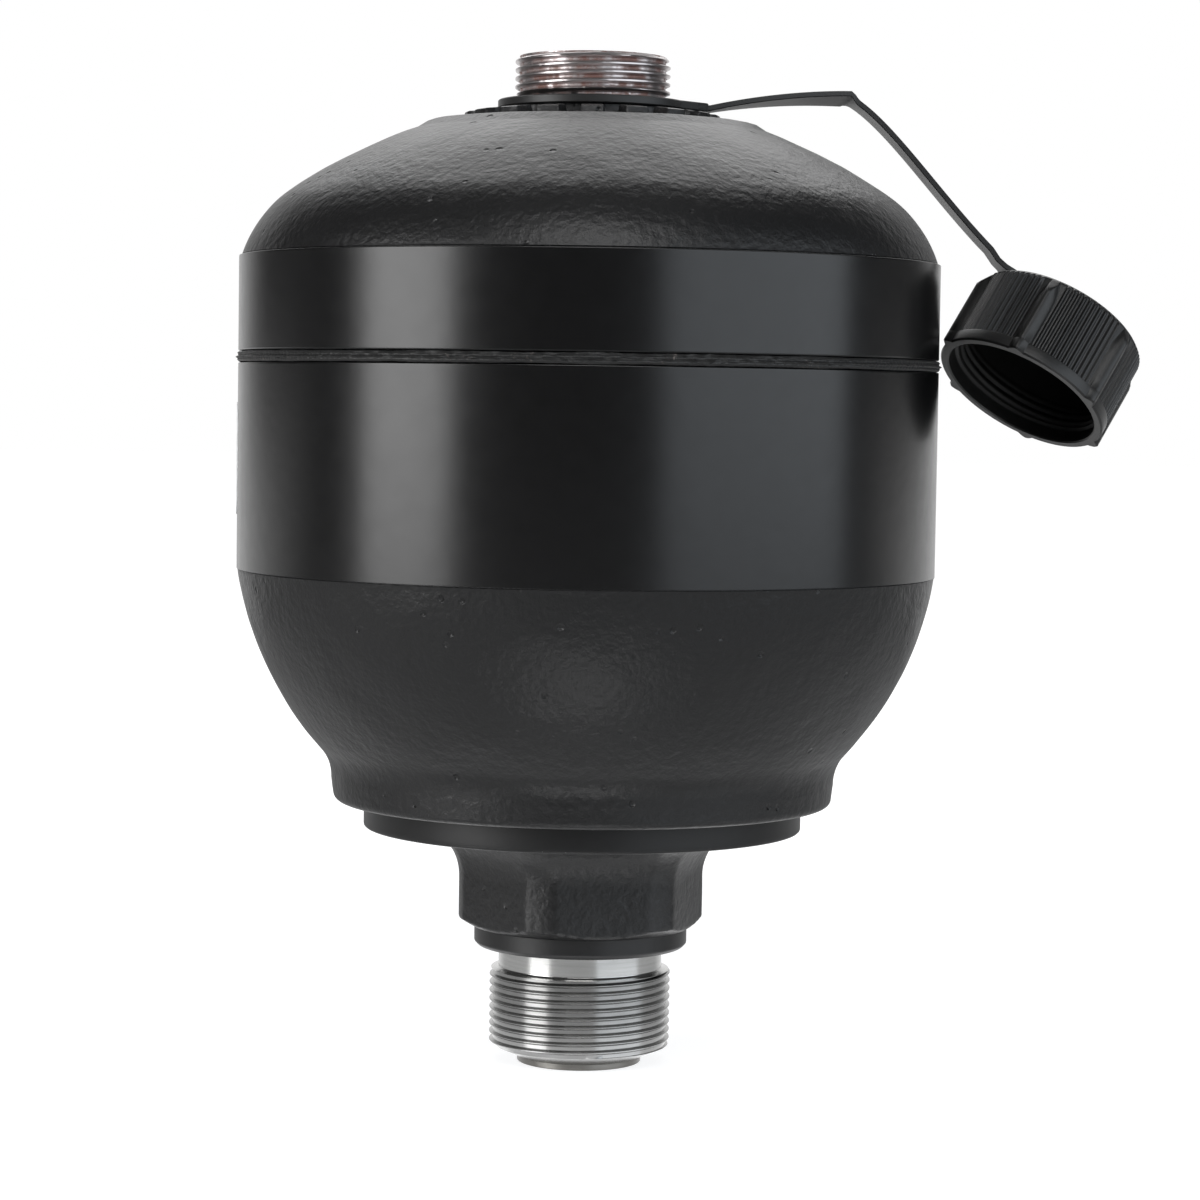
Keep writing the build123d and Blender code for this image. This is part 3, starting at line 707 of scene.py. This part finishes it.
def strip(name, stations, width, thickness):
    """A flat strip through stations, each a middle point, a width direction and a normal."""
    half, thin, soft = width / 2, thickness / 2, 0.14
    outline = [(half, thin - soft), (half - soft, thin), (soft - half, thin), (-half, thin - soft)]
    outline += [(-x, -y) for x, y in outline]
    points, faces = [], []
    for point, side, up in stations:
        points += [(point + side * x + up * y) * mm for x, y in outline]
    size = len(outline)
    for k in range(len(stations) - 1):
        for n in range(size):
            m = (n + 1) % size
            faces.append((k * size + n, k * size + m, (k + 1) * size + m, (k + 1) * size + n))
    faces += [tuple(range(size))[::-1], tuple((len(stations) - 1) * size + n for n in range(size))]
    mesh = bpy.data.meshes.new(name)
    mesh.from_pydata([tuple(p) for p in points], [], faces)
    mesh.shade_smooth()
    mesh.set_sharp_from_angle(angle=math.radians(35))
    piece = bpy.data.objects.new(name, mesh)
    bpy.context.scene.collection.objects.link(piece)
    return piece


strap_azimuth, beak_reach, crease_reach = math.radians(9.5), 20.5, 46.8
eyelet_low, eyelet_high = 16.8, 18.0


def strap_stations(cap_axis, cap_mouth):
    """The strip's middle line with its width and normal, from the ring's beak to the eyelet."""
    outward = Vector((math.cos(strap_azimuth), math.sin(strap_azimuth), 0))
    across = Vector((-math.sin(strap_azimuth), math.cos(strap_azimuth), 0))
    crease = outward * crease_reach + Vector((0, 0, seat_z + 3.4))
    middle, widths = [], []
    for share in np.linspace(-0.03, 1, 24):
        rise = 0.6 + 2.8 * (1 - (1 - max(0, share)) ** 2)
        reach = beak_reach + share * (crease_reach - beak_reach)
        middle.append(outward * reach + Vector((0, 0, seat_z + rise)))
        twist = Matrix.Rotation(math.radians(-9.5 * max(0, share)), 3, outward)
        widths.append(twist @ across)
    eyelet = cap_mouth + cap_axis * (eyelet_low + eyelet_high) / 2
    curve = ((7.5, 3.4), (16.8, 16.7), (27.5, 26.9))
    fall = [crease + outward * x - Vector((0, 0, z)) for x, z in curve]
    inward = fall[2] - eyelet
    inward = (inward - cap_axis * inward.dot(cap_axis)).normalized()
    flat_width = cap_axis.cross(-inward).normalized()
    on_edge = Matrix.Rotation(math.radians(-2.0), 3, outward) @ Vector((0, 1, 0))
    for t in np.linspace(0, 1, 42)[1:]:
        a, b, c, d = (1 - t) ** 3, 3 * t * (1 - t) ** 2, 3 * t * t * (1 - t), t**3
        middle.append(crease * a + fall[0] * b + fall[1] * c + fall[2] * d)
        fold = max(0.0, 1 - t / 0.06)
        widths.append(on_edge.lerp(widths[23], fold).normalized())
    tail = ((16.4, 1.8, 0.0), (14.8, 1.5, 0.05), (13.0, 1.05, 0.45), (11.2, 0.45, 0.9))
    tail += ((9.5, 0, 1), (2.7, 0, 1))
    for reach, rise, turn in tail:
        middle.append(eyelet + inward * reach + cap_axis * rise)
        widths.append(on_edge.lerp(flat_width, turn).normalized())
    stations = []
    for k, point in enumerate(middle):
        along = (middle[min(k + 1, len(middle) - 1)] - middle[max(k - 1, 0)]).normalized()
        side = (widths[k] - along * widths[k].dot(along)).normalized()
        stations.append((point, side, along.cross(side)))
    return stations


count = 360
ring_angles = turn_angles(count)
off = np.abs((ring_angles - strap_azimuth + math.pi) % (2 * math.pi) - math.pi)
flank_x, flank_y, ring_radius, half_strip = 5.95, 15.93, 17.0, 4.0
slope = np.array([flank_y - half_strip, beak_reach - flank_x])
lean = np.maximum(slope[0] * np.cos(off) + slope[1] * np.sin(off), 0.1)
beak = (slope @ np.array([beak_reach, half_strip])) / lean
beak = np.minimum(beak, beak_reach / np.maximum(np.cos(off), 0.1))
on_beak = off < math.atan2(flank_y, flank_x)
beak = np.where(on_beak, np.maximum(beak, ring_radius), ring_radius)
strap_ring = washer("strap_ring", neck_clear_radius, beak, seat_z + 0.02, seat_z + 1.5, count)
stations = strap_stations(axis, cap_place.translation / mm)
strap_strip = strip("strap_strip", stations, 2 * half_strip, 1.0)
strap_eyelet = washer("strap_eyelet", stud_radius + 0.1, 6.0, eyelet_low, eyelet_high, 96)
strap_eyelet.data.transform(cap_place)
print("strap stations", len(stations))

# %% [markdown]
# ## The bladder
# A moulded rubber cup that rolls up as oil comes in, and whose cup flattens towards its clamped
# rim as the valve button lifts. It hides in the vessel, and is built here in one shape.

# %% Build the bladder
wall, bend_z, under_z, hole_radius = 3.0, 92.0, 57.3, 4.3
outside = [(17.0, under_z)] + arc((16.5, bend_z), (31.2, under_z), (54.2, bend_z), 20)
rim = [(54.2, 112.0), (56.2, 112.0), (56.2, 116.0), (51.2, 116.0)]
inside = arc((16.5, bend_z), (51.2, bend_z), (30.6, under_z + wall), 20)
hole = [(hole_radius, under_z + wall), (hole_radius, under_z)]
section = softened(hole + outside + rim + inside + hole[:1], 0.6, 4.0)
angles = turn_angles(160)
radius, height = rings_of(section, len(angles))
bladder = skin("bladder_cup", radius, height, angles)
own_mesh(bladder)
print("bladder rings", radius.shape[0])

# %% [markdown]
# ## Black paint over forged and turned steel
# One spray coat covers both skins. Over turned steel it lies smooth with a satin gloss. Over
# the forging it follows the orange-peel and the pits, and looks greyer because its fine relief
# scatters the light. The place along the axis says which skin lies below.


# %% Paint
def within(finish, z, radius, zones, soft):
    """1 inside any of the zones, each two heights and two radii in mm, with soft edges."""
    inside = 0.0
    for low, high, inner, outer in zones:
        zone = finish.ease(z, (low - soft) * mm, (low + soft) * mm)
        zone = zone * finish.ease(z, (high - soft) * mm, (high + soft) * mm, 1.0, 0.0)
        zone = zone * finish.ease(radius, (inner - soft) * mm, (inner + soft) * mm)
        zone = zone * finish.ease(radius, (outer - soft) * mm, (outer + soft) * mm, 1.0, 0.0)
        inside = zone + inside
    return inside


def paint(name, turned_zones, specks):
    """Black paint that is smooth over the turned zones and chipped in the zones of specks."""
    finish = Finish(bpy.data.materials.new(name))
    place = finish.place()
    x, y, z, radius = finish.apart(place)
    turned = within(finish, z, radius, turned_zones, 0.1)
    forged = 1 - turned
    cloud = finish.grain(place, 22 * mm, 3)
    peel = finish.grain(place, 1.5 * mm, 3, 0.55)
    lumps = finish.grain(place, 5 * mm, 3, 0.5)
    pits = finish.ease(finish.cells(place, 4.2 * mm), 0.05, 0.17)
    pick = finish.ease(finish.grain(place, 11 * mm, 2), 0.52, 0.62)
    pits = 1 - (1 - pits) * pick
    coat = finish.grain(place, 3.5 * mm, 2)
    gloss = finish.ease(z, 60 * mm, 61 * mm, 0.42, 0.25)
    rough = (0.40 + 0.10 * (cloud - 0.5)) * forged + (gloss + 0.06 * (coat - 0.5)) * turned
    relief = (peel * 0.52 + lumps * 0.22 + pits * 0.9) * forged + coat * 0.035
    speck = finish.ease(finish.cells(place, 1.1 * mm), 0.12, 0.07)
    spots = finish.ease(finish.grain(place, 6 * mm, 3), 0.54, 0.62)
    bare = speck * spots * within(finish, z, radius, specks, 0.05)
    shade = finish.blend(cloud, grey(0.0030, 1.04), grey(0.0050, 1.08))
    shade = finish.blend(forged, shade, grey(0.0058, 1.08))
    colour = finish.blend(bare, shade, grey(0.42))
    return finish.surface(
        Base_Color=colour,
        Roughness=rough,
        Metallic=bare,
        Normal=finish.bump(relief, 0.40 * mm),
    )


upper_paint = paint(
    "black_paint_upper",
    [(100, band_top_z, 62, 80)],
    [(band_top_z - 0.25, band_top_z + 0.3, 62, 64)],
)
lower_paint = paint(
    "black_paint_lower",
    [
        (band_bottom_z, 140, 62, 80),
        (flange_bottom_z - 0.1, flange_top_z, 24, 40.5),
        (20, hex_foot_z + 0.1, 14, 20),
    ],
    [
        (flange_top_z - 0.5, flange_top_z + 0.2, 39.0, 41),
        (flange_bottom_z - 0.2, flange_bottom_z + 0.4, 38.6, 41),
    ],
)
print("paint made")

# %% [markdown]
# ## Bare steel
# All of it is metal with fine turning lines round the axis. The relief of the port is clean and
# bright and its thread is duller. The nose is coloured dark as painted shade, for the shadow it
# stands in by the floor. The neck has stood bare in the air, so red-brown rust has settled in
# patches of its grooves, while the crests stay bright from handling. The distance from the axis
# says how deep in a groove a place lies.


# %% Steels
def steel(name, crest, rust, dull=0.25, tint=(0.56, 0.555, 0.54, 1)):
    """Turned steel about the upright axis, with rust where it lies deeper than its crests."""
    finish = Finish(bpy.data.materials.new(name))
    place = finish.place()
    x, y, z, radius = finish.apart(place)
    stretch = finish.add("ShaderNodeCombineXYZ", inputs={0: x * 0.1, 1: y * 0.1, 2: z * 2.5})
    lines = finish.grain(stretch, 1.0 * mm, 2, 0.5)
    cloud = finish.grain(place, 4 * mm, 4, 0.6)
    fleck = finish.grain(place, 0.9 * mm, 3, 0.6)
    deep = finish.ease(radius, (crest - 0.75) * mm, (crest - 0.15) * mm, 1.0, 0.0)
    stain = finish.ease(cloud * 0.9 + fleck * 0.4 + deep * rust, 1.04, 1.30) * min(1.0, rust * 1.6)
    clean = finish.blend(lines, tint, tuple(v * 0.72 for v in tint[:3]) + (1,))
    brown = finish.blend(fleck, (0.085, 0.022, 0.012, 1), (0.22, 0.075, 0.045, 1))
    return finish.surface(
        Base_Color=finish.blend(stain, clean, brown),
        Roughness=dull + 0.08 * lines + 0.4 * stain,
        Metallic=1 - 0.85 * stain,
        Normal=finish.bump(lines * 0.15 + fleck * stain, 0.02 * mm),
    )


neck_steel = steel("steel_neck_rusted", neck_crest, 0.52, 0.26, (0.62, 0.58, 0.58, 1))
port_steel = steel("steel_port_bright", port_crest, 0.0, 0.15, (0.58, 0.58, 0.57, 1))
thread_steel = steel("steel_port_thread", port_crest, 0.0, 0.17, (0.34, 0.34, 0.335, 1))
# Painted shade: the nose's dark tint stands for the shadow it sits in near the floor.
painted_shade_nose_steel = steel("steel_port_nose_painted_shade", port_crest, 0.0, 0.34, (0.16, 0.155, 0.145, 1))
ring_steel = steel("steel_ring", 60.0, 0.0, 0.35, (0.45, 0.45, 0.44, 1))
button_steel = steel("steel_button", 60.0, 0.0, 0.28, (0.5, 0.5, 0.48, 1))
screw_steel = steel("steel_screw", 8.0, 0.15, 0.34, (0.33, 0.32, 0.31, 1))
print("steels made")

# %% [markdown]
# ## Weld, plastics, rubber and film
# The bead is painted too, but its ripples shed paint and show bright specks. Cap and strap are
# black polyethylene with a faint sheen. The cap's inside is duller than its outside, and its darker
# colour is painted shade in the cap's hollow. The sticker is blank white film. Each needs only one
# or two grains, so small functions do.


# %% The other finishes
def weld_finish():
    """Paint over ripples, worn to the metal in small specks."""
    finish = Finish(bpy.data.materials.new("weld_paint"))
    place = finish.place()
    fine = finish.grain(place, 0.8 * mm, 3, 0.6)
    cloud = finish.grain(place, 5 * mm, 3)
    worn = finish.ease(fine * 0.6 + cloud * 0.4, 0.60, 0.70)
    colour = finish.blend(worn, grey(0.016), (0.17, 0.15, 0.14, 1))
    return finish.surface(
        Base_Color=colour,
        Roughness=0.38 + 0.2 * fine,
        Metallic=worn * 0.6,
        Normal=finish.bump(fine, 0.15 * mm),
    )


def plastic(name, shade, dull, size, depth):
    """A dark moulded skin of a shade and dullness, with a grain of a size and depth."""
    finish = Finish(bpy.data.materials.new(name))
    place = finish.place()
    fine = finish.grain(place, size, 3, 0.6)
    cloud = finish.grain(place, 14 * mm, 3)
    colour = finish.blend(cloud, grey(shade), grey(shade * 1.5))
    return finish.surface(
        Base_Color=colour,
        Roughness=dull + 0.14 * (cloud - 0.5) + 0.08 * fine,
        Normal=finish.bump(fine, depth),
    )


def film():
    """Blank white film with a faint sheen."""
    finish = Finish(bpy.data.materials.new("blank_label_film"))
    place = finish.place()
    fine = finish.grain(place, 0.5 * mm, 2)
    cloud = finish.grain(place, 18 * mm, 3)
    colour = finish.blend(cloud, (0.80, 0.81, 0.83, 1), (0.88, 0.885, 0.89, 1))
    return finish.surface(
        Base_Color=colour, Roughness=0.32 + 0.1 * fine, Normal=finish.bump(fine, 0.01 * mm)
    )


weld_paint = weld_finish()
cap_plastic = plastic("cap_polyethylene", 0.0075, 0.36, 0.35 * mm, 0.02 * mm)
# Painted shade: the inside is darker than the outside because the cap's hollow lies in shade.
painted_shade_inside_plastic = plastic("cap_inside_painted_shade_polyethylene", 0.003, 0.55, 0.35 * mm, 0.02 * mm)
strap_plastic = plastic("strap_polyethylene", 0.012, 0.40, 0.5 * mm, 0.02 * mm)
rubber = plastic("bladder_nitrile", 0.012, 0.62, 0.4 * mm, 0.04 * mm)
seal_rubber = plastic("seal_nitrile", 0.014, 0.5, 0.3 * mm, 0.02 * mm)
label_film = film()
print("other finishes made")

# %% [markdown]
# ## Every piece on its body
# A piece rides the body that it is fixed to, takes the place of a node of the frame, and fills
# that node's material slot. The pieces that no finer surface was made for are carried over as
# they are: they are simple turned or flat parts, and only need their finish.

# %% Put everything in its place
dress(upper_body, "vessel", "upper_shell", upper_paint)
for piece in (neck_thread, neck_bore, neck_foot):
    dress(piece, "vessel", "upper_shell", neck_steel)
dress(lower_body, "vessel", "lower_shell", lower_paint)
dress(hexagon, "vessel", "lower_shell", lower_paint)
for piece, material in ((port, thread_steel), (port_nose, painted_shade_nose_steel), (port_relief, port_steel)):
    dress(piece, "vessel", "lower_shell", material)
dress(weld, "vessel", "weld_bead", weld_paint)
dress(cap_shell, "cap", "cap", cap_plastic)
dress(cap_lining, "cap", "cap", painted_shade_inside_plastic)
dress(bladder, "vessel", "bladder", rubber)
for piece in (strap_ring, strap_strip, strap_eyelet):
    dress(piece, "strap", "cap_strap", strap_plastic)
carried = {
    "cap_strap": strap_plastic,
    "label": label_film,
    "retaining_ring": ring_steel,
    "valve_button": button_steel,
    "charging_screw": screw_steel,
    "charging_screw_seal": seal_rubber,
    "upper_shell": upper_paint,
    "lower_shell": lower_paint,
    "weld_bead": weld_paint,
    "cap": cap_plastic,
    "bladder": rubber,
}
for name, material in carried.items():
    nodes[name].data.materials.clear()
    nodes[name].data.materials.append(material)

# %% [markdown]
# ## Studio
# The part stands on a white sweep. Floor and world look white to the camera, and each gives
# reflections a level of its own, because black paint shows little else. Near the port the floor
# is polished, so that bright steel shows the lamps' upright shapes in it. A tall softbox to the
# left draws the bright line on the bands, a wide panel to the right draws the dim one, a softbox
# behind and above lights the crown, and a small panel in front of it the knuckle.


# %% Floor, world and lamps
def floor_finish():
    """White to the camera, with a glow and a polish that only reflections see."""
    finish = Finish(bpy.data.materials.new("white_sweep"))
    path = finish.add("ShaderNodeLightPath")
    node = path.socket.node
    mirrored = Wire(finish, node.outputs["Is Glossy Ray"])
    mirrored = mirrored + Wire(finish, node.outputs["Is Transmission Ray"])
    matt = finish.add("ShaderNodeBsdfDiffuse", inputs={"Color": grey(0.45)})
    tint = (0.985, 0.99, 1.0, 1)
    x, y, z, radius = finish.apart(finish.place())
    strength = path * 0.80 + mirrored * finish.ease(radius, 0.03, 0.07, 0.95, 0.24)
    glow = finish.add("ShaderNodeEmission", inputs={"Color": tint, "Strength": strength})
    near = finish.add("ShaderNodeAddShader", inputs={0: matt, 1: glow})
    behind = finish.ease(y, 0.25, 0.7, 0.0, 0.9)
    white = {"Color": (1, 1, 1, 1), "Strength": path + mirrored * behind}
    white = finish.add("ShaderNodeEmission", inputs=white)
    far = finish.add("ShaderNodeAddShader", inputs={0: matt, 1: white})
    distance = finish.ease(radius, 0.12, 0.42)
    sweep = finish.add("ShaderNodeMixShader", inputs={0: distance, 1: near, 2: far})
    polish = finish.ease(radius, 0.12, 0.16, 1.0, 0.0)
    shine = finish.add("ShaderNodeBsdfGlossy", inputs={"Color": grey(0.45), "Roughness": 0.1})
    polished = finish.add("ShaderNodeAddShader", inputs={0: sweep, 1: shine})
    mixed = {0: mirrored * polish, 1: sweep, 2: polished}
    return finish.end(finish.add("ShaderNodeMixShader", inputs=mixed))


floor_mesh = bpy.data.meshes.new("floor")
floor_mesh.from_pydata([(-6, -6, 0), (6, -6, 0), (6, 6, 0), (-6, 6, 0)], [], [(0, 1, 2, 3)])
floor = bpy.data.objects.new("floor", floor_mesh)
bpy.context.scene.collection.objects.link(floor)
floor_mesh.materials.append(floor_finish())


def make_world():
    """White to the camera. The side behind the part is bright, as a lit backdrop is."""
    finish = Finish(bpy.data.worlds.new("studio"))
    place = finish.add("ShaderNodeTexCoord", output=0)
    x, y, z, radius = finish.apart(place)
    behind = finish.ease(y, 0.62, 0.97, 0.05, 1.0)
    path = finish.add("ShaderNodeLightPath")
    strength = finish.add("ShaderNodeMath", {"operation": "MAXIMUM"}, {0: path, 1: behind})
    sky = finish.add("ShaderNodeBackground", inputs={"Color": (1, 1, 1, 1), "Strength": strength})
    return finish.end(sky, "ShaderNodeOutputWorld")


bpy.context.scene.world = make_world()


def softbox(name, azimuth, elevation, distance, width, tall, power, colour=(1, 1, 1)):
    """A square lamp that looks at the part. Azimuth 0 is the viewer's side, 90 is +X."""
    a, e = math.radians(azimuth), math.radians(elevation)
    away = Vector((math.sin(a) * math.cos(e), -math.cos(a) * math.cos(e), math.sin(e)))
    lamp = bpy.data.lights.new(name, "AREA")
    lamp.shape, lamp.size, lamp.size_y = "RECTANGLE", width, tall
    lamp.energy, lamp.color = power, colour
    holder = bpy.data.objects.new(name, lamp)
    holder.location = Vector((0, 0, 0.11)) + away * distance
    holder.rotation_euler = (-away).to_track_quat("-Z", "Y").to_euler()
    bpy.context.scene.collection.objects.link(holder)
    return holder


softbox("left_softbox", -59, 6, 1.3, 0.72, 1.0, 13)
softbox("right_panel", 56, 8, 1.4, 1.8, 1.2, 13, (0.88, 0.94, 1.0))
softbox("top_softbox", 180, 50, 1.3, 1.1, 1.0, 7.1)
softbox("front_top_panel", 0, 42, 1.3, 0.85, 0.55, 5.4)
print("lamps:", sorted(light.name for light in bpy.data.lights))

# %% [markdown]
# ## Camera
# A long lens from a little over half a metre, at the height of the weld, tipped down slightly.

# %% Camera
tip, swing, roll = math.radians(3.407), math.radians(0.247), math.radians(0.864)
forward = Vector((math.sin(swing) * math.cos(tip), math.cos(swing) * math.cos(tip), -math.sin(tip)))
right = Vector((math.cos(swing), -math.sin(swing), 0))
up = right.cross(forward)
turned_right = right * math.cos(roll) + up * math.sin(roll)
turned_up = up * math.cos(roll) - right * math.sin(roll)
lens = bpy.data.cameras.new("camera")
lens.lens, lens.sensor_width = 102.93, 36
camera = bpy.data.objects.new("camera", lens)
pose = Matrix((turned_right, turned_up, -forward)).transposed().to_4x4()
pose.translation = Vector((0, -0.6215, 0.12115))
camera.matrix_world = pose
bpy.context.scene.collection.objects.link(camera)
bpy.context.scene.camera = camera
bpy.context.scene.view_settings.view_transform = "Standard"
